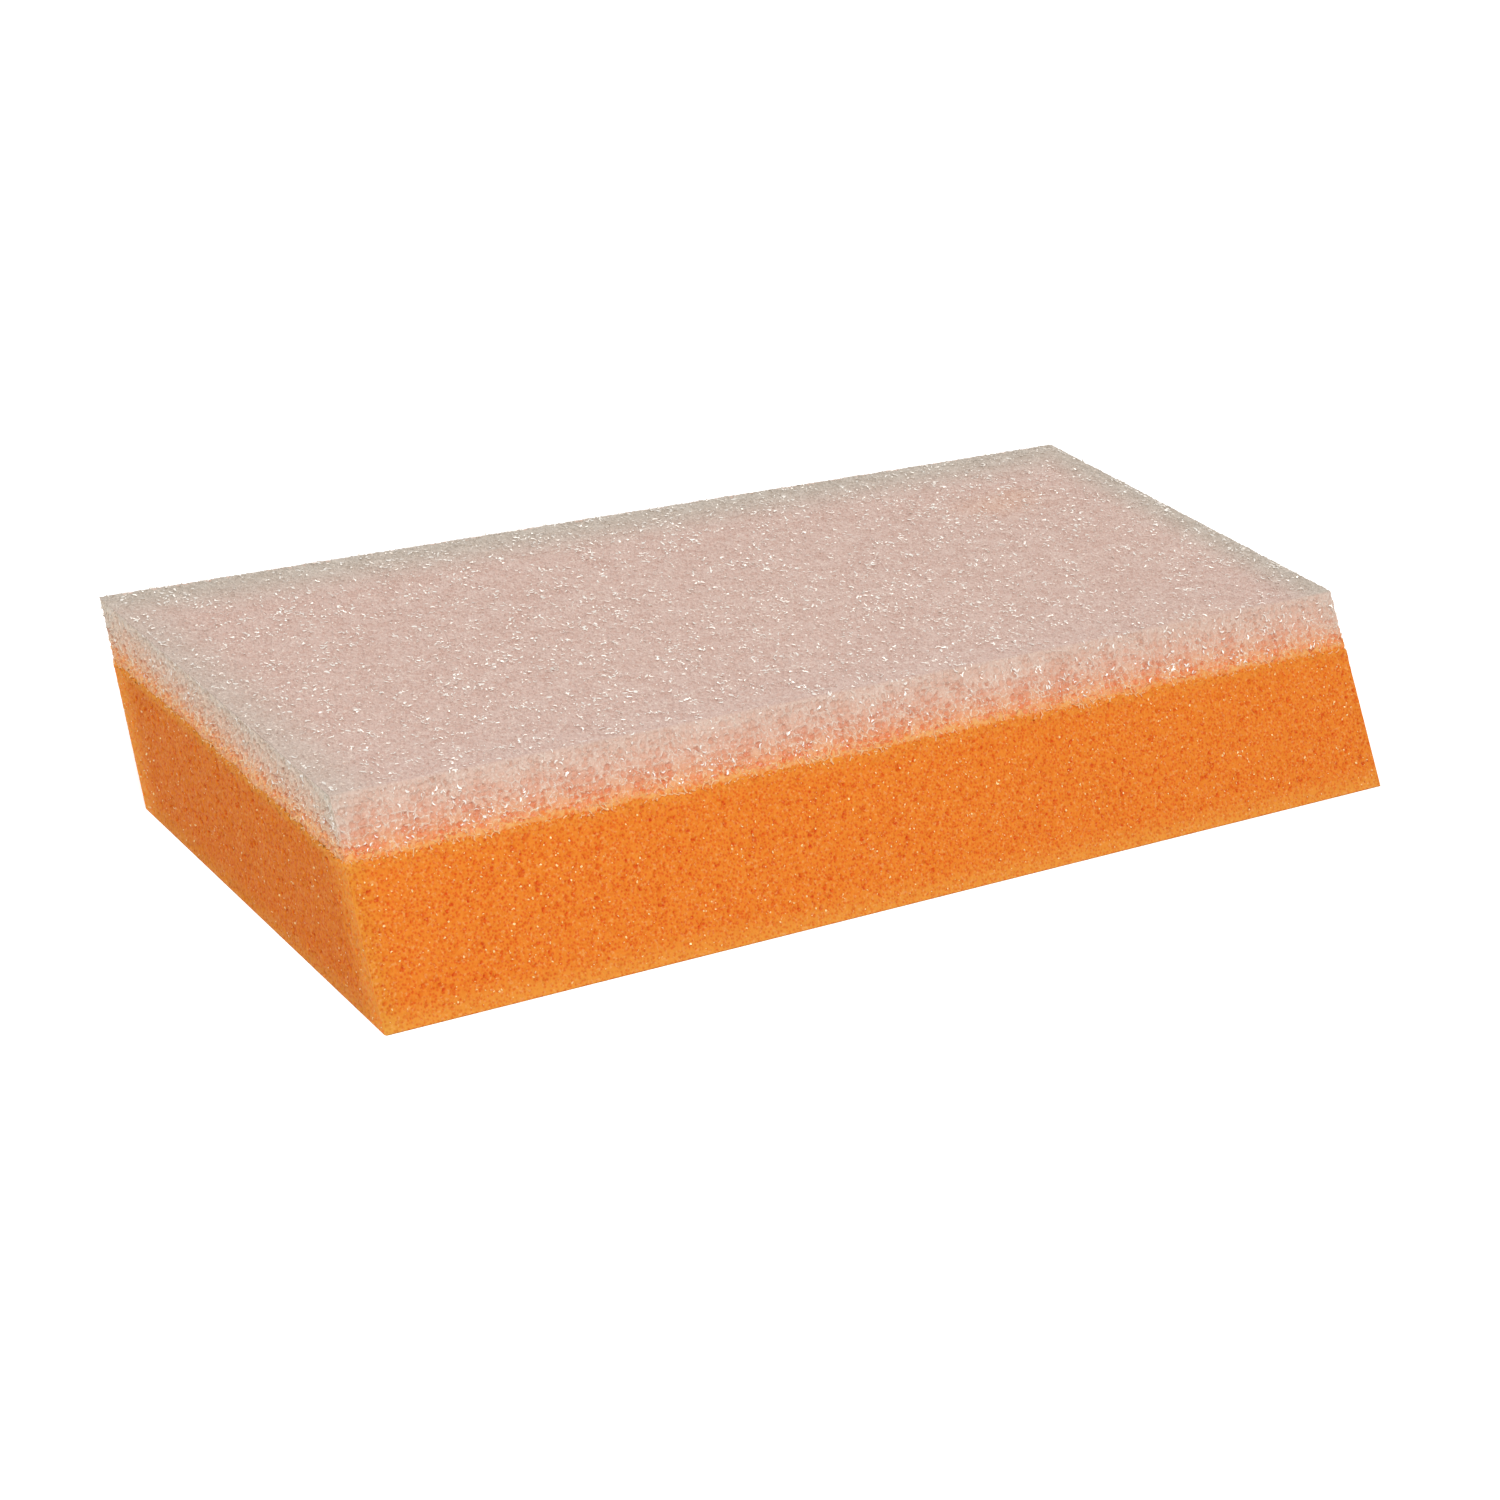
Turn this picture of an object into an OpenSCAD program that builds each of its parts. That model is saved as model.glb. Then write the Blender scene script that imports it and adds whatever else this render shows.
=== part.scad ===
// A laminated foam sanding block with slanted long sides.
// A fine foam body and a coarse scouring layer are bonded face to face and cut as one.
// X runs along the block, Y from front to back and Z up. The origin is the middle of the
// block's footprint on the table, taken over everything that stands above it.

/* [Block] */
// Length of the block, end to end
block_length = 175; // [80:1:260]
// Depth of the bottom face, front edge to back edge
base_depth = 70; // [45:0.5:120]
// Angle between the front side and the vertical, in degrees
front_slant = 33.6; // [0:0.1:45]
// Angle between the back side and the vertical, in degrees
back_slant = 32; // [0:0.1:45]

/* [Layers] */
// Thickness of the fine foam body
body_thickness = 18.6; // [10:0.1:40]
// Thickness of the bond between the two foams
bond_thickness = 0.8; // [0.2:0.1:2]
// Thickness of the coarse scouring layer
scouring_thickness = 6.6; // [3:0.1:20]

/* [Colours] */
// Colour of the fine foam body
body_colour = "#f08028"; // color
// Colour of the bond line
bond_colour = "#f4c79a"; // color
// Colour of the scouring layer
scouring_colour = "#dcd0c8"; // color

/* [Hidden] */

bond_z = body_thickness;
scouring_z = bond_z + bond_thickness;
block_height = scouring_z + scouring_thickness;

// How far the top edge of the back side stands behind its bottom edge
back_lean = block_height * tan(back_slant);

// The whole block, lean included, is centred over the origin
front_edge_y = -(base_depth + back_lean) / 2;
back_edge_y = front_edge_y + base_depth;

// Place of the front and back sides at the height z
function front_y(z) = front_edge_y + z * tan(front_slant);
function back_y(z) = back_edge_y + z * tan(back_slant);

// One flat layer of the slanted block, between two heights
module layer(low_z, high_z) {
    section = [
        [front_y(low_z), low_z],
        [back_y(low_z), low_z],
        [back_y(high_z), high_z],
        [front_y(high_z), high_z]
    ];
    translate([-block_length / 2, 0, 0])
        rotate([90, 0, 90])
            linear_extrude(height = block_length)
                polygon(section);
}

// The fine-celled foam that is held in the hand and rests on the table
module foam_body() {
    color(body_colour)
        layer(0, bond_z);
}

// The thin seam of melted foam that joins the two layers
module bond_layer() {
    color(bond_colour)
        layer(bond_z, scouring_z);
}

// The coarse open-celled foam that does the rubbing
module scouring_layer() {
    color(scouring_colour)
        layer(scouring_z, block_height);
}

foam_body();
bond_layer();
scouring_layer();
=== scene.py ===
import bpy
import numpy as np
from math import radians
from mathutils import Matrix, Vector


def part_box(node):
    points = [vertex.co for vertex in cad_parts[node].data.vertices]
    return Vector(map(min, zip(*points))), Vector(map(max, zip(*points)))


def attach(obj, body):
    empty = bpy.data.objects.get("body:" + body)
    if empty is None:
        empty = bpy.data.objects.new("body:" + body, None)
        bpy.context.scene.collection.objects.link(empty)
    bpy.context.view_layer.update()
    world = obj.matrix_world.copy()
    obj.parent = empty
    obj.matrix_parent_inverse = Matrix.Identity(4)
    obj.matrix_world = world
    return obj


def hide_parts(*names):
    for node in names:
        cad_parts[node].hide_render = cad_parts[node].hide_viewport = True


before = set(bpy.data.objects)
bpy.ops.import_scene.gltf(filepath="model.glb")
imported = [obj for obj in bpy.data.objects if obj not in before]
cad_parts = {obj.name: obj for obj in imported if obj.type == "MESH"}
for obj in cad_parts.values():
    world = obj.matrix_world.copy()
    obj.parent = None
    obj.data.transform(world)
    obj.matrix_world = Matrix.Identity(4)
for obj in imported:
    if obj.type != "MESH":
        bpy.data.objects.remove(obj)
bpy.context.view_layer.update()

# The block's form, worked out from the boxes of its layers. It is centred on X.
bodyBox = np.array(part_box("foam_body"), float)
padBox = np.array(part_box("scouring_layer"), float)
blockEnd = bodyBox[1][0]
blockTop = padBox[1][2]
bodyTop = bodyBox[1][2]
padFoot = padBox[0][2]
frontSlope = (padBox[0][1] - bodyBox[0][1]) / (padBox[0][2] - bodyBox[0][2])
backSlope = (padBox[1][1] - bodyBox[1][1]) / (padBox[1][2] - bodyBox[1][2])
frontTilt = np.hypot(1, frontSlope)
backTilt = np.hypot(1, backSlope)
# Sides in order: left, right, front, back, top, bottom
sideNormals = np.array([
    (-1, 0, 0), (1, 0, 0),
    (0, -1 / frontTilt, frontSlope / frontTilt), (0, 1 / backTilt, -backSlope / backTilt),
    (0, 0, 1), (0, 0, -1)])


def frontAt(z):
    return bodyBox[0][1] + frontSlope * z


def backAt(z):
    return padBox[1][1] + backSlope * (z - blockTop)


# Depth under the first five sides
def sideDistances(points):
    x, y, z = points.T
    return np.stack([x + blockEnd, blockEnd - x, (y - frontAt(z)) / frontTilt,
                     (backAt(z) - y) / backTilt, blockTop - z], 1)


def easeStep(x):
    x = np.clip(x, 0, 1)
    return x * x * (3 - 2 * x)


# Worn edges, each as the numbers of its two sides. The one behind the top and those below stay sharp.
edgeStyle = {
    "radius": 0.3e-3,
    "pairs": [(0, 2), (0, 3), (1, 2), (1, 3), (0, 4), (1, 4), (2, 4)],
}


def wornEdges(points):
    radius = edgeStyle["radius"]
    for pair in edgeStyle["pairs"]:
        reach = radius - sideDistances(points)[:, pair]
        far = np.maximum(np.linalg.norm(reach, axis=1), radius)
        back = np.where(reach.min(1) > 0, 1 - radius / far, 0)
        points = points - (reach * back[:, None]) @ sideNormals[list(pair)]
    return points


# The seam between the foams wanders a little up and down
seamStyle = {"height": 0.17e-3, "waves": 10, "longest": 0.040, "shortest": 0.0035, "seed": 11}


def seamShift(x, y):
    rng = np.random.default_rng(seamStyle["seed"])
    total = np.zeros(np.shape(x))
    for wave in range(seamStyle["waves"]):
        share = wave / (seamStyle["waves"] - 1)
        length = seamStyle["longest"] * (seamStyle["shortest"] / seamStyle["longest"]) ** share
        heading, phase = rng.uniform(0, 2 * np.pi, 2)
        along = x * np.cos(heading) + y * np.sin(heading)
        total += np.sin(2 * np.pi * along / length + phase)
    return seamStyle["height"] * total / np.sqrt(seamStyle["waves"])


# The map for baking: one patch for each side, as its two axes and its lowest corner
mapStyle = {
    "span": 0.225,            # length that fills the whole map
    "patches": [(2, 1, 0.81, 0.01), (2, 1, 0.81, 0.41), (0, 2, 0.01, 0.01),
                (0, 2, 0.01, 0.14), (0, 1, 0.01, 0.60), (0, 1, 0.01, 0.27)],
}


def boxMap(points, loops, sizes):
    starts = np.cumsum(sizes) - sizes
    middle = np.add.reduceat(points[loops], starts) / sizes[:, None]
    away = np.concatenate([sideDistances(middle), middle[:, 2:]], 1)
    side = np.repeat(away.argmin(1), sizes)
    lowest = np.array([-blockEnd, bodyBox[0][1], 0])
    patches = np.array(mapStyle["patches"])[side]
    place = (points[loops] - lowest) / mapStyle["span"]
    axes = patches[:, :2].astype(int)
    return np.take_along_axis(place, axes, 1) + patches[:, 2:]


# A mesh from its points and arrays of faces, with one float attribute for each mark
def newPiece(name, points, faceSets, smooth=True, marks=None):
    mesh = bpy.data.meshes.new(name)
    loops = np.concatenate([f.ravel() for f in faceSets]).astype(np.int32)
    sizes = np.concatenate([np.full(len(f), f.shape[1]) for f in faceSets])
    mesh.vertices.add(len(points))
    mesh.vertices.foreach_set("co", points.astype(np.float32).ravel())
    mesh.loops.add(len(loops))
    mesh.loops.foreach_set("vertex_index", loops)
    mesh.polygons.add(len(sizes))
    mesh.polygons.foreach_set("loop_start", (np.cumsum(sizes) - sizes).astype(np.int32))
    mesh.update(calc_edges=True)
    mesh.polygons.foreach_set("use_smooth", np.full(len(sizes), smooth))
    for key, values in (marks or {}).items():
        mesh.attributes.new(key, "FLOAT", "POINT").data.foreach_set("value", values.astype(np.float32))
    layer = mesh.uv_layers.new(name="OFBake")
    layer.uv.foreach_set("vector", boxMap(points, loops, sizes).astype(np.float32).ravel())
    piece = bpy.data.objects.new(name, mesh)
    bpy.context.scene.collection.objects.link(piece)
    print(name, len(points), "points,", int((sizes - 2).sum()), "triangles")
    return piece


def dress(piece, paint, node):
    piece.data.materials.append(paint)
    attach(piece, "root")
    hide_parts(node)


# A closed skin of the slanted block between two heights, with a grid or one flat lid at each end.
# The last value marks the rings of the lids, which lie this far inside and have no normal.
lidInset = 1.0e-3


def skin(low, high, step, floor=True, roof=True):
    nx = int(round(2 * blockEnd / step))
    ny = int(round((backAt(0) - frontAt(0)) / step))
    nz = max(int(round((high - low) / step)), 2)
    number = np.full((nx + 1, ny + 1, nz + 1), -1, np.int32)
    edge = np.zeros(number.shape, bool)
    edge[[0, -1]] = edge[:, [0, -1]] = True
    edge[1:-1, 1:-1, 0] = floor
    edge[1:-1, 1:-1, -1] = roof
    i, j, k = np.nonzero(edge)
    number[i, j, k] = np.arange(len(i))

    def sheet(a, flip):
        quads = np.stack([a[:-1, :-1], a[1:, :-1], a[1:, 1:], a[:-1, 1:]], -1).reshape(-1, 4)
        return quads[:, ::-1] if flip else quads

    def lid(a):
        return np.concatenate([a[:-1, 0], a[-1, :-1], a[:0:-1, -1], a[0, :0:-1]])[None]

    sheets = [sheet(number[0], True), sheet(number[-1], False), sheet(number[:, 0], False),
              sheet(number[:, -1], True)]
    sheets.append(sheet(number[:, :, 0], True) if floor else lid(number[:, :, 0])[:, ::-1])
    sheets.append(sheet(number[:, :, -1], False) if roof else lid(number[:, :, -1]))
    on = [i == 0, i == nx, j == 0, j == ny, (k == nz) & roof, (k == 0) & floor]
    normals = sum(np.where(here[:, None], sideNormals[side], 0.0) for side, here in enumerate(on))
    normals /= np.linalg.norm(normals, axis=1, keepdims=True)
    z = low + (high - low) * k / nz
    lids = (k == 0) & (not floor) | (k == nz) & (not roof)
    half = (backAt(z) - frontAt(z)) / 2
    x = (blockEnd - lidInset * lids) * (2 * i / nx - 1)
    y = frontAt(z) + half + (half - lidInset * lids) * (2 * j / ny - 1)
    normals[lids] = 0
    return np.stack([x, y, z], 1), sheets, normals, lids


# A number for each cell of a grid, scattered evenly and the same in every run. The count is a power of two.
def cellKey(cells, count):
    return (cells[..., 0] * 73856093 ^ cells[..., 1] * 19349663 ^ cells[..., 2] * 83492791) & (count - 1)


# Distances to the two nearest of a set of scattered cell middles, in cells, and the cell's own share
def cellWalls(points, size, seed):
    unit = points / size
    home = np.floor(unit).astype(np.int64)
    nearest = np.full(len(points), 9.0)
    second = np.full(len(points), 9.0)
    tag = np.zeros(len(points))
    table = np.random.default_rng(seed).random((4096, 4))
    for step in np.ndindex(3, 3, 3):
        cell = home + np.array(step) - 1
        key = cellKey(cell, len(table))
        away = np.linalg.norm(cell + table[key, :3] - unit, axis=1)
        second = np.minimum(second, np.maximum(nearest, away))
        tag = np.where(away < nearest, table[key, 3], tag)
        nearest = np.minimum(nearest, away)
    return nearest, second, tag


# Mixes two colours, each given as a socket or as a plain colour
def colourNode(nodes, links, kind, factor, first, second):
    node = nodes.new("ShaderNodeMix")
    node.data_type = "RGBA"
    node.blend_type = kind
    for socket, value in ((node.inputs[0], factor), (node.inputs[6], first), (node.inputs[7], second)):
        if isinstance(value, bpy.types.NodeSocket):
            links.new(value, socket)
        else:
            socket.default_value = value if isinstance(value, float) else (*value, 1)
    return node.outputs[2]


def mathNode(nodes, links, kind, first, second):
    node = nodes.new("ShaderNodeMath")
    node.operation = kind
    for socket, value in zip(node.inputs, (first, second)):
        if isinstance(value, bpy.types.NodeSocket):
            links.new(value, socket)
        else:
            socket.default_value = value
    return node.outputs[0]


# Group: fine speckle of cut cells and their thin walls, used by every foam. The cells are painted darker
# and redder: painted shade in the pores.
speckleStyle = {"hole": (0.62, 0.15), "wall": (0.55, 0.75), "bump": 0.5}


def smoothRange(nodes, links, value, low, high):
    node = nodes.new("ShaderNodeMapRange")
    node.interpolation_type = "SMOOTHSTEP"
    node.inputs["From Min"].default_value = low
    node.inputs["From Max"].default_value = high
    links.new(value, node.inputs["Value"])
    return node


def makeSpeckle():
    group = bpy.data.node_groups.new("foamSpeckleAndShade", "ShaderNodeTree")
    face = group.interface
    face.new_socket("Color", in_out="INPUT", socket_type="NodeSocketColor")
    face.new_socket("Pale", in_out="INPUT", socket_type="NodeSocketColor")
    for name in ("Cells per metre", "Dark", "Light"):
        face.new_socket(name, in_out="INPUT", socket_type="NodeSocketFloat")
    face.new_socket("Color", in_out="OUTPUT", socket_type="NodeSocketColor")
    face.new_socket("Height", in_out="OUTPUT", socket_type="NodeSocketFloat")
    nodes, links = group.nodes, group.links
    given = nodes.new("NodeGroupInput").outputs
    result = nodes.new("NodeGroupOutput")
    place = nodes.new("ShaderNodeTexCoord").outputs["Object"]
    cells = nodes.new("ShaderNodeTexVoronoi")
    cells.feature = "F1"
    grain = nodes.new("ShaderNodeTexNoise")
    grain.inputs["Detail"].default_value = 1
    for texture in (cells, grain):
        links.new(place, texture.inputs["Vector"])
        links.new(given["Cells per metre"], texture.inputs["Scale"])
    hole = smoothRange(nodes, links, cells.outputs["Distance"], *speckleStyle["hole"]).outputs["Result"]
    dark = mathNode(nodes, links, "MULTIPLY", hole, given["Dark"])
    light = smoothRange(nodes, links, grain.outputs["Fac"], *speckleStyle["wall"])
    links.new(given["Light"], light.inputs["To Max"])
    # Painted shade: the cells take a darker, redder copy of the colour
    squared = colourNode(nodes, links, "MULTIPLY", 1.0, given["Color"], given["Color"])
    darker = colourNode(nodes, links, "MIX", dark, given["Color"], squared)
    paler = colourNode(nodes, links, "MIX", light.outputs["Result"], darker, given["Pale"])
    links.new(paler, result.inputs["Color"])
    links.new(hole, result.inputs["Height"])
    return group


speckle = makeSpeckle()


def bareMaterial(name, look):
    mat = bpy.data.materials.new(name)
    mat.use_nodes = True
    nodes = mat.node_tree.nodes
    shader = nodes["Principled BSDF"]
    shader.inputs["Roughness"].default_value = look["roughness"]
    shader.inputs["Specular IOR Level"].default_value = look["specular"]
    return mat, nodes, mat.node_tree.links, shader


def ramp(nodes, links, factor, stops):
    node = nodes.new("ShaderNodeValToRGB")
    while len(node.color_ramp.elements) < len(stops):
        node.color_ramp.elements.new(0.5)
    for element, (place, colour) in zip(node.color_ramp.elements, stops):
        element.position = place
        element.color = (*colour, 1)
    links.new(factor, node.inputs["Fac"])
    return node.outputs["Color"]


def mark(nodes, name):
    node = nodes.new("ShaderNodeAttribute")
    node.attribute_name = name
    return node.outputs["Fac"]


# The look's speckle: cells per metre, how dark the cells' painted shade and how light their walls are, and
# the bump
def addSpeckle(nodes, links, shader, colour, look):
    perMetre, dark, light, bump = look["speckle"]
    cells = nodes.new("ShaderNodeGroup")
    cells.node_tree = speckle
    cells.inputs["Cells per metre"].default_value = perMetre
    cells.inputs["Dark"].default_value = dark
    cells.inputs["Light"].default_value = light
    cells.inputs["Pale"].default_value = (*look["wallTint"], 1)
    links.new(colour, cells.inputs["Color"])
    links.new(cells.outputs["Color"], shader.inputs["Base Color"])
    relief = nodes.new("ShaderNodeBump")
    relief.invert = True
    relief.inputs["Strength"].default_value = speckleStyle["bump"]
    relief.inputs["Distance"].default_value = bump
    links.new(cells.outputs["Height"], relief.inputs["Height"])
    links.new(relief.outputs["Normal"], shader.inputs["Normal"])


# Crescents of film stay round the cut cells and catch the light. Each is a ring of eight points, from
# one tip along its outer edge to the other and back. Both foams share these values.
filmStyle = {
    "along": np.array([-1, -0.55, 0, 0.55, 1, 0.55, 0, -0.55]),
    "across": np.array([0, 0.75, 1, 0.75, 0, -0.75, -1, -0.75]),
    "bend": (0.6, 1.2),       # half the angle of the arc
    "stray": 0.7,             # how much the tilt varies within a clump, against that between clumps
    "margin": 0.006,          # share of a face that stays free along its edges
    "rise": 0.05e-3,          # how far the films stand off the face
    "thickness": 0.02e-3,
    "tintScale": 900,         # patches of tint per metre
}


def crescents(ring, thickness):
    normal = np.cross(ring[:, 2] - ring[:, 0], ring[:, 4] - ring[:, 0])
    normal *= thickness / 2 / np.linalg.norm(normal, axis=1, keepdims=True)
    points = np.concatenate([ring - normal[:, None], ring + normal[:, None]], 1).reshape(-1, 3)
    base = np.arange(len(ring))[:, None] * 16
    sheets = []
    for face in ((0, 1, 7), (1, 2, 6, 7), (2, 3, 5, 6), (3, 4, 5)):
        sheets.append(base + np.array([face]))
        sheets.append(base + 8 + np.array([face[::-1]]))
    sheets += [base + np.array([(a, a + 8, (a + 1) % 8 + 8, (a + 1) % 8)]) for a in range(8)]
    return points, sheets


# Clumps of crescents between two heights, on the four upright sides and by its own weight on the top
def filmShreds(style, low, high, top=0, batch=0):
    rng = np.random.default_rng(style["seed"] + 5 + batch)
    tall, wide, deep = high - low, 2 * blockEnd, backAt(0) - frontAt(0)
    spans = np.array([(deep, tall), (deep, tall), (wide, tall), (wide, tall), (wide, deep)])
    area = spans.prod(1) * (1, 1, frontTilt, backTilt, top)
    repeats = rng.integers(1, style["clump"] + 1, style["shreds"])
    side = np.repeat(rng.choice(5, style["shreds"], p=area / area.sum()), repeats)
    spot = np.repeat(rng.random((style["shreds"], 2)), repeats, axis=0)
    count = len(side)
    spot = spot + rng.normal(size=(count, 2)) * style["clumpReach"] / spans[side]
    spot = spot.clip(filmStyle["margin"], 1 - filmStyle["margin"])
    z = np.where(side == 4, high, low + tall * spot[:, 1])
    acrossShare = np.where(side == 4, spot[:, 1], np.where(side < 2, spot[:, 0], side - 2.0))
    y = frontAt(z) + (backAt(z) - frontAt(z)) * acrossShare
    x = np.where(side < 2, blockEnd * (2 * side - 1), blockEnd * (2 * spot[:, 0] - 1))
    tilt = np.repeat(rng.normal(size=(style["shreds"], 3)), repeats, axis=0)
    tilt = tilt + filmStyle["stray"] * rng.normal(size=(count, 3))
    normal = sideNormals[side] + tilt * style["shredTilt"]
    normal /= np.linalg.norm(normal, axis=1, keepdims=True)
    across = np.cross(normal, rng.normal(size=(count, 3)))
    across /= np.linalg.norm(across, axis=1, keepdims=True)
    other = np.cross(normal, across)
    radius = np.exp(rng.uniform(*np.log(style["shredSize"]), (count, 1)))
    half = radius * rng.uniform(*style["shredWidth"], (count, 1)) / 2
    angle = filmStyle["along"] * rng.uniform(*filmStyle["bend"], (count, 1))
    width = half * filmStyle["across"]
    reach = radius + width
    cup = width * rng.uniform(-1, 1, (count, 1)) ** 3 * style["shredLift"]
    middle = wornEdges(np.stack([x, y, z], 1)) + sideNormals[side] * filmStyle["rise"]
    ring = (reach * np.cos(angle) - radius)[..., None] * across[:, None]
    ring += middle[:, None] + (reach * np.sin(angle))[..., None] * other[:, None]
    ring += cup[..., None] * normal[:, None]
    return crescents(ring, filmStyle["thickness"])


def filmMaterial(name, look):
    mat, nodes, links, shader = bareMaterial(name, look)
    tint = nodes.new("ShaderNodeTexNoise")
    tint.inputs["Scale"].default_value = filmStyle["tintScale"]
    # The tint holds the films' own colour and a painted glint
    colour = ramp(nodes, links, tint.outputs["Fac"], look["tint"])
    links.new(colour, shader.inputs["Base Color"])
    shader.inputs["IOR"].default_value = look["ior"]
    shader.inputs["Specular Tint"].default_value = (*look["gleam"], 1)
    return mat


# Coarse foam: struts between the corners of its cells, with a pitted core close behind them
padStyle = {
    "cell": 1.25e-3,          # width of the cubic unit that holds two cells
    "scatter": 0.2,           # random shift of each cell's middle, as a share of the unit
    "squeeze": 0.25,          # how far a corner may lie from its even place, in units
    "strut": 0.09e-3,         # from a strut's middle line to its edges
    "spread": 0.3,            # how much that varies from corner to corner
    "lap": 0.6e-3,            # how far the struts reach down over the body
    "warp": 0.5e-3,           # slow wander of the whole network
    "warpLength": 8e-3,
    "warpSpread": (0.6, 1.6),
    "warpWaves": 7,
    "turn": (0.41, 0.67, 0.93),
    "shell": 0.6e-3,          # how deep the struts are modelled
    "parts": 6,               # pieces that the struts are made in
    "coreStep": 0.22e-3,      # between the points of the core's skin
    "coreLap": 0.3e-3,        # how far the core reaches down into the body
    "topInset": 0.03e-3,      # depth of the core's walls at the top
    "sideInset": 0.14e-3,     # and at the sides
    "footInset": 0.25e-3,     # its foot draws in behind the bond
    "grain": 0.03e-3,         # fine roughness of the core
    "hollow": 0.44,           # radius of a cell, as a share of the unit
    "wall": 0.2,              # share of the unit that the slope of a cell's wall takes
    "deepest": 0.5e-3,        # how far a cut cell goes in from there
    "shallow": 0.5,           # the shallowest cell against the deepest
    "topShare": 0.4,          # how deep the top's cells are against those of the sides
    "crisp": 0.6e-3,          # the cells are shallower within this distance of the knife's edges
    "crispShare": 0.3,        # what is left of their depth there
    "greyReach": 0.011,       # the top's rim is greyer than its middle
    "greyShare": (0.55, 1.0, 0.0, 1.0),    # how much, at the left, right, front and back
    "greyDepth": 1.8e-3,      # how far that reaches down the sides
    "greySide": 0.5,          # how grey the sides are against the top
    "cornerReach": 0.006,     # the upright corners are greyer too
    "cornerShare": 0.6,
    "cornerRise": 0.5,        # from this share of the height upwards
    "endLightReach": 0.0015,       # the end faces are painted lighter: painted light that makes up for the light they lack
    "blend": 0.4e-3,          # width of the change from one face to the next
    # Pinker patches of the top: place, width and depth on X and Y, and strength
    "blooms": [(0.0600, 0.0235, 0.0075, 0.0035, 1.0), (0.0665, 0.0265, 0.004, 0.0025, 0.7),
               (0.0620, -0.0270, 0.009, 0.0040, 0.6)],
    "bloomShare": 0.5,        # how far the strongest goes to the bloom's colour
    "shreds": 1750,           # places with crescents of film in each of their two pieces
    "shredTop": 2.2,          # how many the top has for its size against the sides
    "clump": 5,               # most crescents in one place
    "clumpReach": 0.7e-3,
    "shredSize": (0.15e-3, 0.50e-3),
    "shredWidth": (0.35, 0.7),
    "shredTilt": 0.11,
    "shredLift": 0.7,         # slope of the most cupped film
    "strutLook": {
        "side": [(0.0, (0.90, 0.56, 0.27)), (0.15, (0.89, 0.69, 0.53)), (0.45, (0.835, 0.65, 0.54)),
                 (0.85, (0.775, 0.615, 0.52))],
        "sideGrey": (0.72, 0.62, 0.54),
        "top": (0.683, 0.507, 0.440),
        "topGrey": (0.575, 0.508, 0.436),
        "bloom": (0.74, 0.47, 0.35),
        # Painted light on the end faces
        "ends": (1.045, 1.08, 1.035),
        "roughness": 0.35,
        "specular": 0.5,
    },
    "coreLook": {
        "side": [(0.0, (0.86, 0.40, 0.16)), (0.2, (0.79, 0.43, 0.255)), (0.45, (0.765, 0.485, 0.36)),
                 (0.85, (0.725, 0.53, 0.44))],
        "sideGrey": (0.67, 0.56, 0.48),
        "top": (0.652, 0.460, 0.394),
        "topGrey": (0.537, 0.468, 0.396),
        "bloom": (0.69, 0.41, 0.28),
        # Painted light on the end faces
        "ends": (1.07, 1.24, 1.27),
        # Painted shade in the cut cells, which also take the orange foam's colour through the coarse one,
        # most of all low down
        "pit": [(0.0, (0.94, 0.46, 0.26)), (0.3, (0.93, 0.60, 0.48)), (0.8, (0.95, 0.83, 0.77)),
                (0.97, (0.97, 0.91, 0.88))],
        "speckle": (2600, 0.3, 0.6, 0.04e-3),
        "wallTint": (0.88, 0.76, 0.66),
        "roughness": 0.5,
        "specular": 0.5,
    },
    "filmLook": {
        # Near-white films: partly the white foam's own colour, partly a painted glint
        "tint": [(0.4, (0.92, 0.83, 0.74)), (0.6, (0.99, 0.96, 0.89))],
        "gleam": (1, 1, 1),
        "ior": 2.0,
        "roughness": 0.28,
        "specular": 1,
    },
    "seed": 5,
}
padTurn = Matrix.Identity(3)
for angle, axis in zip(padStyle["turn"], "XYZ"):
    padTurn = padTurn @ Matrix.Rotation(angle, 3, axis)
padTurn = np.array(padTurn)
padShifts = np.random.default_rng(padStyle["seed"]).uniform(-1, 1, (8192, 3)) * padStyle["scatter"]


def padWarp(points):
    rng = np.random.default_rng(padStyle["seed"] + 1)
    moved = np.zeros(points.shape)
    waves = padStyle["warpWaves"]
    for wave in range(waves):
        heading = rng.normal(size=3)
        heading /= np.linalg.norm(heading)
        swing = rng.normal(size=3) * padStyle["warp"] / np.sqrt(waves)
        length = padStyle["warpLength"] * rng.uniform(*padStyle["warpSpread"])
        phase = rng.uniform(0, 2 * np.pi)
        moved += np.sin(2 * np.pi * (points @ heading) / length + phase)[:, None] * swing
    return moved


# The middles of the cells given in quarter units, each moved by its own random shift
def cellMiddles(cells):
    return cells / 4 + padShifts[cellKey(cells, len(padShifts))]


def latticeCode(points, origin, span):
    p = points - origin
    return (p[..., 0] * span[1] + p[..., 1]) * span[2] + p[..., 2]


# Where the cells' corners lie once the middles have moved, in units
def cornerPlaces(grid):
    steps = np.array([p for p in np.ndindex(5, 5, 5)]) - 2
    steps = steps[(steps ** 2).sum(1) == 5]
    cells = grid[:, None] + steps
    real = (cells % 4 == 0).all(2) | (cells % 4 == 2).all(2)
    pick = np.argsort(~real, axis=1, kind="stable")[:, :4]
    middles = cellMiddles(np.take_along_axis(cells, pick[..., None], 1))
    # The corner is as far from each of the four middles
    lines = middles[:, 1:] - middles[:, :1]
    square = ((middles ** 2).sum(2)[:, 1:] - (middles ** 2).sum(2)[:, :1]) / 2
    corner = np.linalg.solve(lines, square[..., None])[..., 0]
    away = corner - grid / 4
    length = np.linalg.norm(away, axis=1, keepdims=True)
    return grid / 4 + away * np.minimum(1, padStyle["squeeze"] / np.maximum(length, 1e-9))


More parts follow.
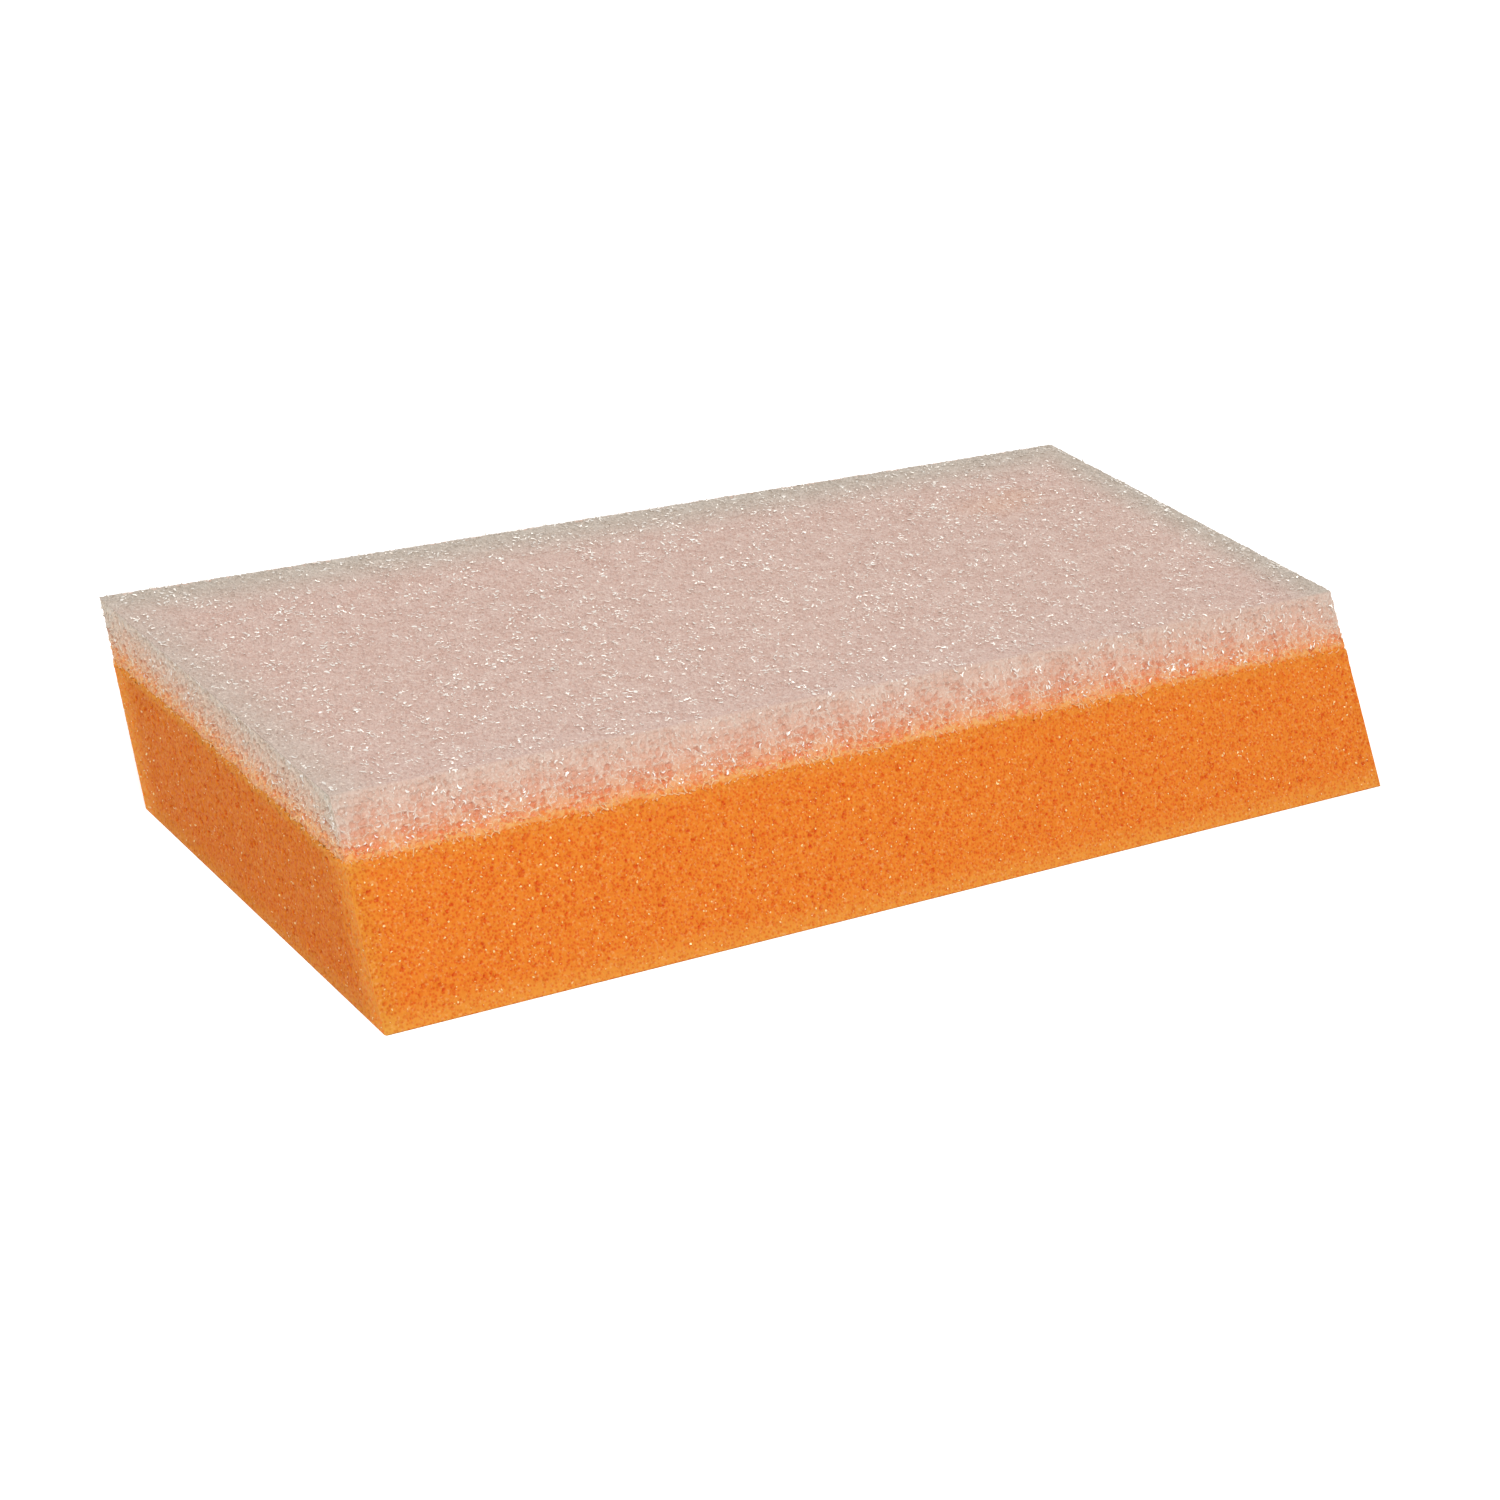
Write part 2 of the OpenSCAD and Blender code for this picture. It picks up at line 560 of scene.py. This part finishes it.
# The corners near the faces, the four that each one is joined to, and whether it has all four
def padLattice(style):
    cell = style["cell"]
    spare = 1.6 * cell
    margin = 2.2 * cell
    steps = [np.arange(a - spare, b + spare, cell / 2) for a, b in zip(*padBox)]
    probe = np.stack(np.meshgrid(*steps, indexing="ij"), -1).reshape(-1, 3)
    depth = sideDistances(probe).min(1)
    probe = probe[(depth > -margin) & (depth < style["shell"] + margin)]
    units = np.unique(np.floor(probe @ padTurn / cell).astype(np.int64), axis=0)
    # A corner has one odd and two even quarter steps, the even ones half a unit apart
    corners = np.array([p for p in np.ndindex(4, 4, 4)
                        if sum(v % 2 for v in p) == 1 and sum(v for v in p if v % 2 == 0) % 4 == 2])
    grid = (units[:, None] * 4 + corners).reshape(-1, 3)
    origin = grid.min(0) - 8
    span = grid.max(0) - origin + 9
    grid = grid[np.argsort(latticeCode(grid, origin, span))]
    codes = latticeCode(grid, origin, span)

    def find(points):
        wanted = latticeCode(points, origin, span)
        at = np.searchsorted(codes, wanted).clip(0, len(codes) - 1)
        return np.where(codes[at] == wanted, at, -1)

    place = cornerPlaces(grid) * cell @ padTurn.T
    place = place + padWarp(place)
    around = np.array(list(np.ndindex(3, 3, 3))) - 1
    around = around[np.abs(around).sum(1) == 2]
    links = np.stack([find(grid + step) for step in around], 1)
    full = (links >= 0).sum(1) == 4
    links = np.take_along_axis(links, np.argsort(links < 0, axis=1, kind="stable")[:, :4], 1)
    return place, links, full


# Depth under the five sides and over the line where the struts end
def padDepths(points):
    x, y, z = points.T
    seam = z - (bodyTop + seamShift(x, y) - padStyle["lap"])
    return np.concatenate([sideDistances(points), seam[:, None]], 1)


def padStruts(style):
    place, links, full = padLattice(style)
    depths = padDepths(place)
    inside = (depths.min(1) > 0) & (depths[:, :5].min(1) < style["shell"]) & full
    rng = np.random.default_rng(style["seed"] + 2)
    radius = style["strut"] * np.exp(rng.normal(size=len(place)) * style["spread"])
    own = np.flatnonzero(inside)
    number = np.full(len(place), -1)
    number[own] = np.arange(len(own))
    ends = links[own]
    heading = place[ends] - place[own][:, None]
    heading /= np.linalg.norm(heading, axis=2, keepdims=True)
    away = heading.sum(1, keepdims=True) - 2 * heading
    away /= np.linalg.norm(away, axis=2, keepdims=True)
    tips = place[own][:, None] + away * radius[own][:, None, None]
    # Round each strut run the three tips that face it, in order round its direction
    facing = np.array([(1, 2, 3), (0, 2, 3), (0, 1, 3), (0, 1, 2)])
    ring = tips[:, facing] - place[own][:, None, None]
    around = sum(np.cross(ring[:, :, a], ring[:, :, (a + 1) % 3]) for a in range(3))
    wrong = (around * heading).sum(2) < 0
    facing = np.broadcast_to(facing, (len(own), 4, 3)).copy()
    facing[wrong] = facing[wrong][:, ::-1]
    rings = np.arange(len(own))[:, None, None] * 4 + facing
    tips = tips.reshape(-1, 3)
    part = np.floor((place[own][:, 0] + blockEnd) / (2 * blockEnd) * style["parts"]).astype(int)
    part = part.clip(0, style["parts"] - 1)

    def across(points, middle, along):
        offset = points - middle[:, None]
        return offset - (offset * along).sum(2, keepdims=True) * along

    # Struts between two corners, each made once
    corner, strut = np.nonzero(number[ends] >= 0)
    other = number[ends[corner, strut]]
    once = corner < other
    corner, strut, other = corner[once], strut[once], other[once]
    back = np.argmax(ends[other] == own[corner][:, None], axis=1)
    near = rings[corner, strut]
    opening = rings[other, back]
    far = opening[:, ::-1].copy()
    along = heading[corner, strut][:, None]
    nearSide = across(tips[near], place[own][corner], along)
    farSide = across(tips[far], place[own][other], along)
    twist = np.stack([((nearSide - np.roll(farSide, s, axis=1)) ** 2).sum((1, 2)) for s in range(3)], 1)
    twist = twist.argmin(1)
    for s in (1, 2):
        far[twist == s] = np.roll(far[twist == s], s, axis=1)
    split = part[corner] != part[other]
    wallPart = part[corner]
    caps = [far[split], opening[split]]
    capPart = [part[corner][split], part[other][split]]
    # Struts that the knife cut end flush with the face of the block, and deep ones end in the core
    corner, strut = np.nonzero(number[ends] < 0)
    start = place[own][corner]
    finish = place[ends[corner, strut]]
    startDepth = depths[own][corner]
    finishDepth = padDepths(finish)
    share = np.where(finishDepth < 0, startDepth / np.maximum(startDepth - finishDepth, 1e-12), 2.0)
    face = share.argmin(1)
    share = share.min(1)
    kept = share <= 1
    caps.append(rings[corner[~kept], strut[~kept]])
    capPart.append(part[corner[~kept]])
    corner, strut, face, share = corner[kept], strut[kept], face[kept], share[kept]
    middle = start[kept] + (finish[kept] - start[kept]) * share[:, None]
    root = rings[corner, strut]
    offset = across(tips[root], start[kept], heading[corner, strut][:, None])
    normal = sideNormals[face][:, None]
    offset -= (offset * normal).sum(2, keepdims=True) * normal
    cut = len(tips) + np.arange(3 * len(corner)).reshape(-1, 3)
    points = wornEdges(np.concatenate([tips, (middle[:, None] + offset).reshape(-1, 3)]))
    caps = np.concatenate(caps + [cut])
    capPart = np.concatenate(capPart + [part[corner]])
    near = np.concatenate([near, root])
    far = np.concatenate([far, cut])
    wallPart = np.concatenate([wallPart, part[corner]])
    for wanted in range(style["parts"]):
        n, f = near[wallPart == wanted], far[wallPart == wanted]
        walls = np.concatenate([np.stack([n[:, a], n[:, (a + 1) % 3], f[:, (a + 1) % 3], f[:, a]], 1)
                                for a in range(3)])
        closing = caps[capPart == wanted]
        used, index = np.unique(np.concatenate([walls.ravel(), closing.ravel()]), return_inverse=True)
        sheets = [index[:walls.size].reshape(-1, 4), index[walls.size:].reshape(-1, 3)]
        yield points[used], sheets


# For each point the way from the nearest cell's middle, the two shortest distances and a random share
def nearestCells(points):
    flat = points.copy()
    for again in range(3):
        flat = points - padWarp(flat)
    flat = flat @ padTurn / padStyle["cell"]
    nearest = np.full(len(points), 9.0)
    second = np.full(len(points), 9.0)
    offset = np.zeros(points.shape)
    for half in (0, 2):
        home = np.round(flat - half / 4).astype(np.int64)
        for step in np.ndindex(3, 3, 3):
            reach = flat - cellMiddles((home + np.array(step) - 1) * 4 + half)
            away = np.linalg.norm(reach, axis=1)
            second = np.minimum(second, np.maximum(nearest, away))
            offset = np.where((away < nearest)[:, None], reach, offset)
            nearest = np.minimum(nearest, away)
    # The middle's three numbers mixed into one, whose fraction is as good as random
    mixed = (flat - offset) @ np.array([37.1, 53.7, 71.9])
    share = np.modf(np.abs(mixed))[0]
    return offset @ padTurn.T * padStyle["cell"], nearest, second, share


def padCore(style):
    low = bodyTop - style["coreLap"]
    points, sheets, normals, lids = skin(low, blockTop, style["coreStep"], floor=False)
    offset, near, second, share = nearestCells(points)
    upward = normals[:, 2].clip(0, 1) ** 2
    # How far a line from the face goes in before it meets the far wall of the cut cell
    along = (offset * normals).sum(1)
    square = (along / style["cell"]) ** 2 - near ** 2 + style["hollow"] ** 2
    reach = along + style["cell"] * np.sqrt(np.maximum(square, 0))
    pit = np.clip(reach / style["deepest"], 0, 1) * easeStep((second - near) / style["wall"])
    pit *= (style["shallow"] + (1 - style["shallow"]) * share) * (1 - (1 - style["topShare"]) * upward)
    edge = np.sort(sideDistances(points), axis=1)[:, 1]
    pit *= style["crispShare"] + (1 - style["crispShare"]) * easeStep(edge / style["crisp"])
    marks = {**padMarks(points), "pit": pit}
    fall = ((padFoot - points[:, 2]) / (padFoot - low)).clip(0, 1)
    inset = style["sideInset"] + (style["topInset"] - style["sideInset"]) * upward
    inset += style["deepest"] * pit + style["footInset"] * easeStep(fall)
    inset += np.random.default_rng(style["seed"] + 3).normal(size=len(points)) * style["grain"]
    points = wornEdges(points) - normals * inset[:, None]
    points[:, 2] += ~lids * fall * seamShift(points[:, 0], points[:, 1])
    return points, sheets, marks


# Shares of colour for the coarse foam. The faces part halfway round each edge.
def padMarks(points):
    sides = sideDistances(points)
    height = (points[:, 2] - padFoot) / (blockTop - padFoot)
    fade = 1 - easeStep(sides[:, :4] / padStyle["greyReach"])
    rim = (fade * np.array(padStyle["greyShare"])).max(1)
    rim *= 1 - easeStep(sides[:, 4] / padStyle["greyDepth"])
    upright = easeStep(0.5 + (sides[:, 4] - sides[:, :4].min(1)) / padStyle["blend"])
    rim *= 1 - (1 - padStyle["greySide"]) * upright
    corner = 1 - easeStep(np.sort(sides[:, :4], axis=1)[:, 1] / padStyle["cornerReach"])
    corner *= padStyle["cornerShare"] * easeStep(height / padStyle["cornerRise"])
    bloom = sum(share * np.exp(-((points[:, 0] - x) / wide) ** 2 - ((points[:, 1] - y) / deep) ** 2)
                for x, y, wide, deep, share in padStyle["blooms"])
    end = sides[:, :2].min(1)
    # Painted light: the end faces are made lighter, as they get less light than the top
    ends = easeStep(0.5 + (sides[:, 2:].min(1) - end) / padStyle["blend"])
    ends *= 1 - easeStep(end / padStyle["endLightReach"])
    return {"grey": np.maximum(rim, corner), "bloom": bloom, "height": height, "top": 1 - upright,
            "ends": ends}


# The colour by height on the sides and one colour on the top, each with its own grey towards the corners
def padTint(nodes, links, look):
    side = ramp(nodes, links, mark(nodes, "height"), look["side"])
    side = colourNode(nodes, links, "MIX", mark(nodes, "grey"), side, look["sideGrey"])
    # Painted light on the end faces
    side = colourNode(nodes, links, "MULTIPLY", mark(nodes, "ends"), side, look["ends"])
    top = colourNode(nodes, links, "MIX", mark(nodes, "grey"), look["top"], look["topGrey"])
    share = mathNode(nodes, links, "MULTIPLY", mark(nodes, "bloom"), padStyle["bloomShare"])
    share.node.use_clamp = True
    top = colourNode(nodes, links, "MIX", share, top, look["bloom"])
    return colourNode(nodes, links, "MIX", mark(nodes, "top"), side, top)


def strutMaterial(look):
    mat, nodes, links, shader = bareMaterial("scouringStruts", look)
    links.new(padTint(nodes, links, look), shader.inputs["Base Color"])
    return mat


def coreMaterial(look):
    mat, nodes, links, shader = bareMaterial("scouringCore", look)
    colour = padTint(nodes, links, look)
    # Painted shade and the orange foam's colour in the cut cells
    pink = ramp(nodes, links, mark(nodes, "height"), look["pit"])
    colour = colourNode(nodes, links, "MULTIPLY", mark(nodes, "pit"), colour, pink)
    addSpeckle(nodes, links, shader, colour, look)
    return mat


paint = strutMaterial(padStyle["strutLook"])
for number, (points, sheets) in enumerate(padStruts(padStyle)):
    marks = padMarks(points)
    piece = newPiece("scouringStruts" + str(number + 1), points, sheets, smooth=False, marks=marks)
    dress(piece, paint, "scouring_layer")
paint = filmMaterial("scouringFilms", padStyle["filmLook"])
for batch in (0, 1):
    points, sheets = filmShreds(padStyle, padFoot, blockTop, padStyle["shredTop"], batch)
    piece = newPiece("scouringFilms" + str(batch + 1), points, sheets, smooth=False)
    dress(piece, paint, "scouring_layer")
points, sheets, marks = padCore(padStyle)
piece = newPiece("scouringCore", points, sheets, smooth=False, marks=marks)
dress(piece, coreMaterial(padStyle["coreLook"]), "scouring_layer")
print("scouring layer done")


# Fine foam body: a closed skin with the cells that the knife opened
bodyStyle = {
    "step": 0.2e-3,           # between the skin's points
    "cell": 0.62e-3,
    "wall": 0.38,             # share of a cell that its wall's slope takes
    "pit": 0.16e-3,
    "shallow": 0.35,          # the shallowest cell against the deepest
    "grain": 0.02e-3,         # fine roughness
    "bigCell": 1.15e-3,
    "bigPit": 0.22e-3,
    "bigShare": 0.4,          # share of the big cells that stay closed
    "bigRadius": (0.14, 0.26),    # the least, and what is added for the biggest
    "bigWall": 0.12,
    "crisp": 0.5e-3,          # the knife's edges stay straight within this distance
    "topInset": 0.15e-3,      # the sides draw in at the top, under the coarse foam's struts
    "topFall": 0.9e-3,
    "ragged": 0.7e-3,         # rise and fall of the top edge from cell to cell
    "raggedPower": 8,         # how fast that fades below the top edge
    "pitShade": 0.5,           # painted shade of the cells, small and big
    "bigShade": 0.6,
    "endLightReach": 0.006,        # painted light: the ends are lighter towards their upright edges, from light scattered through the corner
    "sideReach": 0.0045,      # painted light: the long sides are yellower there
    "sideShare": (1, 0.3),    # at the left and the right end
    "footReach": 0.0035,      # painted light: the foot and the top are lighter, the foot from the floor's light scattered in
    "footShare": 0.75,
    "topReach": 0.0022,
    "topShare": (0.45, 1.0),  # on the long sides and on the ends
    "shreds": 1700,
    "shredLow": 0.6e-3,       # from the foot, and below the top
    "shredHigh": 0.2e-3,
    "clump": 2,
    "clumpReach": 1.0e-3,
    "shredSize": (0.07e-3, 0.24e-3),
    "shredWidth": (0.8, 1.4),
    "shredTilt": 0.2,
    "shredLift": 0.8,
    "look": {
        # The cells grow darker and redder with depth: painted shade in the pores
        "pit": [(0.0, (0.86, 0.25, 0.022)), (0.35, (0.82, 0.21, 0.012)), (1.0, (0.74, 0.107, 0.004))],
        # Colour of the painted light at the foot and the top
        "pale": (0.85, 0.34, 0.045),
        # Painted light: the glow of light scattered through the upright corners
        "endGlow": (1.0, 0.38, 0.05),
        "sideGlow": (0.95, 1.15, 1.3),
        "speckle": (2200, 0.6, 0.5, 0.05e-3),
        "wallTint": (0.92, 0.44, 0.14),
        "roughness": 0.55,
        "specular": 0.15,
    },
    "filmLook": {
        # Pale yellow films on the orange foam: a painted glint, lighter than the foam's own colour
        "tint": [(0.4, (0.95, 0.50, 0.12)), (0.6, (0.97, 0.80, 0.40))],
        "gleam": (1, 0.9, 0.6),
        "ior": 1.6,
        "roughness": 0.28,
        "specular": 1,
    },
    "seed": 21,
}


def foamBody(style):
    points, sheets, normals, lids = skin(0, bodyTop, style["step"], roof=False)
    sides = sideDistances(points)
    ends = sides[:, :2].min(1)
    faces = sides[:, 2:4].min(1)
    foot = points[:, 2].copy()
    upright = np.maximum(ends, faces)
    onEnd = ends < faces
    nearEdge = np.sort(np.stack([ends, faces, foot], 1), axis=1)[:, 1]
    near, second, tag = cellWalls(points, style["cell"], style["seed"])
    pit = easeStep((second - near) / style["wall"]) * (style["shallow"] + (1 - style["shallow"]) * tag)
    ragged = (tag - 0.5) * style["ragged"]
    near, second, tag = cellWalls(points, style["bigCell"], style["seed"] + 1)
    least, added = style["bigRadius"]
    big = easeStep((least + added * tag - near) / style["bigWall"]) * (tag > style["bigShare"])
    depth = style["pit"] * pit + style["bigPit"] * big
    depth += np.random.default_rng(style["seed"] + 3).normal(size=len(points)) * style["grain"]
    depth *= easeStep(nearEdge / style["crisp"])
    depth += style["topInset"] * easeStep(1 - (bodyTop - foot) / style["topFall"])
    # The underside's cells only go in, so that it lies flat on what it rests on
    depth = np.where(foot > 0, depth, depth.clip(0))
    points = wornEdges(points) - normals * depth[:, None]
    lift = ~lids * (foot / bodyTop) ** style["raggedPower"]
    points[:, 2] += lift * (seamShift(points[:, 0], points[:, 1]) + ragged)
    # Painted light along the foot and the top edge
    pale = style["footShare"] * (1 - easeStep(foot / style["footReach"]))
    high = np.array(style["topShare"])[onEnd.astype(int)]
    pale = np.maximum(pale, high * (1 - easeStep((bodyTop - foot) / style["topReach"])))
    # Painted light: light scattered through the upright corners, stronger at the left
    endGlow = onEnd * (1 - easeStep(upright / style["endLightReach"]))
    sideGlow = ~onEnd * (1 - easeStep(upright / style["sideReach"]))
    sideGlow = sideGlow * np.where(points[:, 0] < 0, *style["sideShare"])
    return points, sheets, {"pit": style["pitShade"] * pit + style["bigShade"] * big, "pale": pale,
                            "endGlow": endGlow, "sideGlow": sideGlow}


def bodyMaterial(look):
    mat, nodes, links, shader = bareMaterial("bodyFoam", look)
    # Painted shade of the cells
    colour = ramp(nodes, links, mark(nodes, "pit"), look["pit"])
    # Painted light: lighter foot and top, and glow at the upright corners
    colour = colourNode(nodes, links, "MIX", mark(nodes, "pale"), colour, look["pale"])
    colour = colourNode(nodes, links, "MIX", mark(nodes, "endGlow"), colour, look["endGlow"])
    colour = colourNode(nodes, links, "MULTIPLY", mark(nodes, "sideGlow"), colour, look["sideGlow"])
    addSpeckle(nodes, links, shader, colour, look)
    return mat


points, sheets, marks = foamBody(bodyStyle)
piece = newPiece("foamBody", points, sheets, marks=marks)
dress(piece, bodyMaterial(bodyStyle["look"]), "foam_body")
points, sheets = filmShreds(bodyStyle, bodyStyle["shredLow"], bodyTop - bodyStyle["shredHigh"])
piece = newPiece("bodyFilms", points, sheets, smooth=False)
paint = filmMaterial("bodyFilms", bodyStyle["filmLook"])
dress(piece, paint, "foam_body")
print("body done")


# Bond: a thin ragged fringe where the coarse foam's struts are laid into the body
bondStyle = {
    "step": 0.2e-3,           # between the skin's points
    "lap": 0.8e-3,            # how far it reaches down over the body
    "rise": 0.3e-3,           # and up over the coarse foam's foot
    "inset": 0.12e-3,         # how far it lies behind the faces
    "tuck": 0.55e-3,          # its upper and lower edges draw in this much more
    "tuckShare": 0.4,         # share of its height that each of them takes
    "cell": 0.85e-3,
    "wall": 0.4,
    "pit": 0.14e-3,
    "ragged": 0.9e-3,
    "look": {
        "rise": [(0.0, (0.87, 0.34, 0.055)), (0.45, (0.88, 0.42, 0.11)), (1.0, (0.88, 0.52, 0.25))],
        # Painted light on the end faces, as on the coarse foam
        "ends": (1.03, 1.15, 1.9),
        "pit": (0.96, 0.54, 0.28),
        "speckle": (1800, 0.35, 0.3, 0.05e-3),
        "wallTint": (0.92, 0.58, 0.33),
        "roughness": 0.5,
        "specular": 0.3,
    },
    "seed": 31,
}


def bondFringe(style):
    low, high = bodyTop - style["lap"], padFoot + style["rise"]
    points, sheets, normals, lids = skin(low, high, style["step"], floor=False, roof=False)
    near, second, tag = cellWalls(points, style["cell"], style["seed"])
    pit = easeStep((second - near) / style["wall"])
    share = (points[:, 2] - low) / (high - low)
    below = 1 - easeStep(share / style["tuckShare"])
    above = easeStep(1 - (1 - share) / style["tuckShare"])
    inset = style["inset"] + style["pit"] * pit
    inset += style["tuck"] * (below + above)
    points = wornEdges(points) - normals * inset[:, None]
    points[:, 2] += ~lids * (seamShift(points[:, 0], points[:, 1]) + (tag - 0.5) * style["ragged"] * share)
    return points, sheets, {"rise": share, "pit": pit, "ends": padMarks(points)["ends"]}


def bondMaterial(look):
    mat, nodes, links, shader = bareMaterial("bondFringe", look)
    colour = ramp(nodes, links, mark(nodes, "rise"), look["rise"])
    # Painted light on the end faces
    colour = colourNode(nodes, links, "MULTIPLY", mark(nodes, "ends"), colour, look["ends"])
    colour = colourNode(nodes, links, "MULTIPLY", mark(nodes, "pit"), colour, look["pit"])
    addSpeckle(nodes, links, shader, colour, look)
    return mat


points, sheets, marks = bondFringe(bondStyle)
piece = newPiece("bondFringe", points, sheets, marks=marks)
dress(piece, bondMaterial(bondStyle["look"]), "bond_layer")
print("bond done")

# Floor, sky, camera and lamps
stageStyle = {
    "floorSize": 6,
    "floorTint": 0.85,
    "floorLook": {"roughness": 0.9, "specular": 0},
    "floorLift": 0.58,        # what the camera sees of the floor on top of the lamps' light
    "sky": 0.51,
    "lens": 79.05,
    "cameraPlace": (-0.269432, -0.354162, 0.21237),
    "cameraTurn": (64.7767, -5.2213, -34.5604),
    # Name, place, width, height, power and colour
    "lamps": [("key", (-0.34, -0.49, 0.695), 0.31, 0.31, 3.25, (1, 1, 1)),
              ("rim", (0.99, 1.31, 0.83), 1.04, 0.32, 5.8, (1, 0.93, 0.84)),
              ("side", (0.62, -0.75, 0.58), 0.5, 0.14, 1.5, (1, 0.92, 0.82))],
}


def cameraShare(nodes, links):
    path = nodes.new("ShaderNodeLightPath")
    total = path.outputs["Is Camera Ray"]
    for name in ("Is Glossy Ray", "Is Transmission Ray"):
        total = mathNode(nodes, links, "MAXIMUM", total, path.outputs[name])
    return total


def makeFloor(style):
    half = style["floorSize"] / 2
    corners = [(-half, -half, 0), (half, -half, 0), (half, half, 0), (-half, half, 0)]
    mesh = bpy.data.meshes.new("floor")
    mesh.from_pydata(corners, [], [(0, 1, 2, 3)])
    floor = bpy.data.objects.new("floor", mesh)
    bpy.context.scene.collection.objects.link(floor)
    mat, nodes, links, shader = bareMaterial("floor", style["floorLook"])
    shader.inputs["Base Color"].default_value = (*[style["floorTint"]] * 3, 1)
    shader.inputs["Emission Color"].default_value = (1, 1, 1, 1)
    lift = mathNode(nodes, links, "MULTIPLY", cameraShare(nodes, links), style["floorLift"])
    links.new(lift, shader.inputs["Emission Strength"])
    mesh.materials.append(mat)


def makeSky(style):
    world = bpy.data.worlds.new("world")
    bpy.context.scene.world = world
    world.use_nodes = True
    nodes, links = world.node_tree.nodes, world.node_tree.links
    sky = nodes["Background"]
    sky.inputs["Color"].default_value = (1, 1, 1, 1)
    level = nodes.new("ShaderNodeMapRange")
    level.inputs["To Min"].default_value = style["sky"]
    links.new(cameraShare(nodes, links), level.inputs["Value"])
    links.new(level.outputs["Result"], sky.inputs["Strength"])


def makeCamera(style):
    camera = bpy.data.objects.new("camera", bpy.data.cameras.new("camera"))
    bpy.context.scene.collection.objects.link(camera)
    camera.data.sensor_width = 36
    camera.data.lens = style["lens"]
    camera.data.clip_start = 0.01
    camera.rotation_euler = [radians(angle) for angle in style["cameraTurn"]]
    camera.location = style["cameraPlace"]
    bpy.context.scene.camera = camera


def makeLamp(name, place, wide, high, power, colour):
    data = bpy.data.lights.new(name, "AREA")
    data.shape = "RECTANGLE"
    data.color = colour
    data.size = wide
    data.size_y = high
    data.energy = power
    holder = bpy.data.objects.new(name, data)
    holder.location = place
    holder.rotation_euler = (-Vector(place)).to_track_quat("-Z", "Y").to_euler()
    bpy.context.scene.collection.objects.link(holder)


makeFloor(stageStyle)
makeSky(stageStyle)
makeCamera(stageStyle)
for lamp in stageStyle["lamps"]:
    makeLamp(*lamp)
bpy.context.scene.view_settings.view_transform = "Standard"
print("stage done")
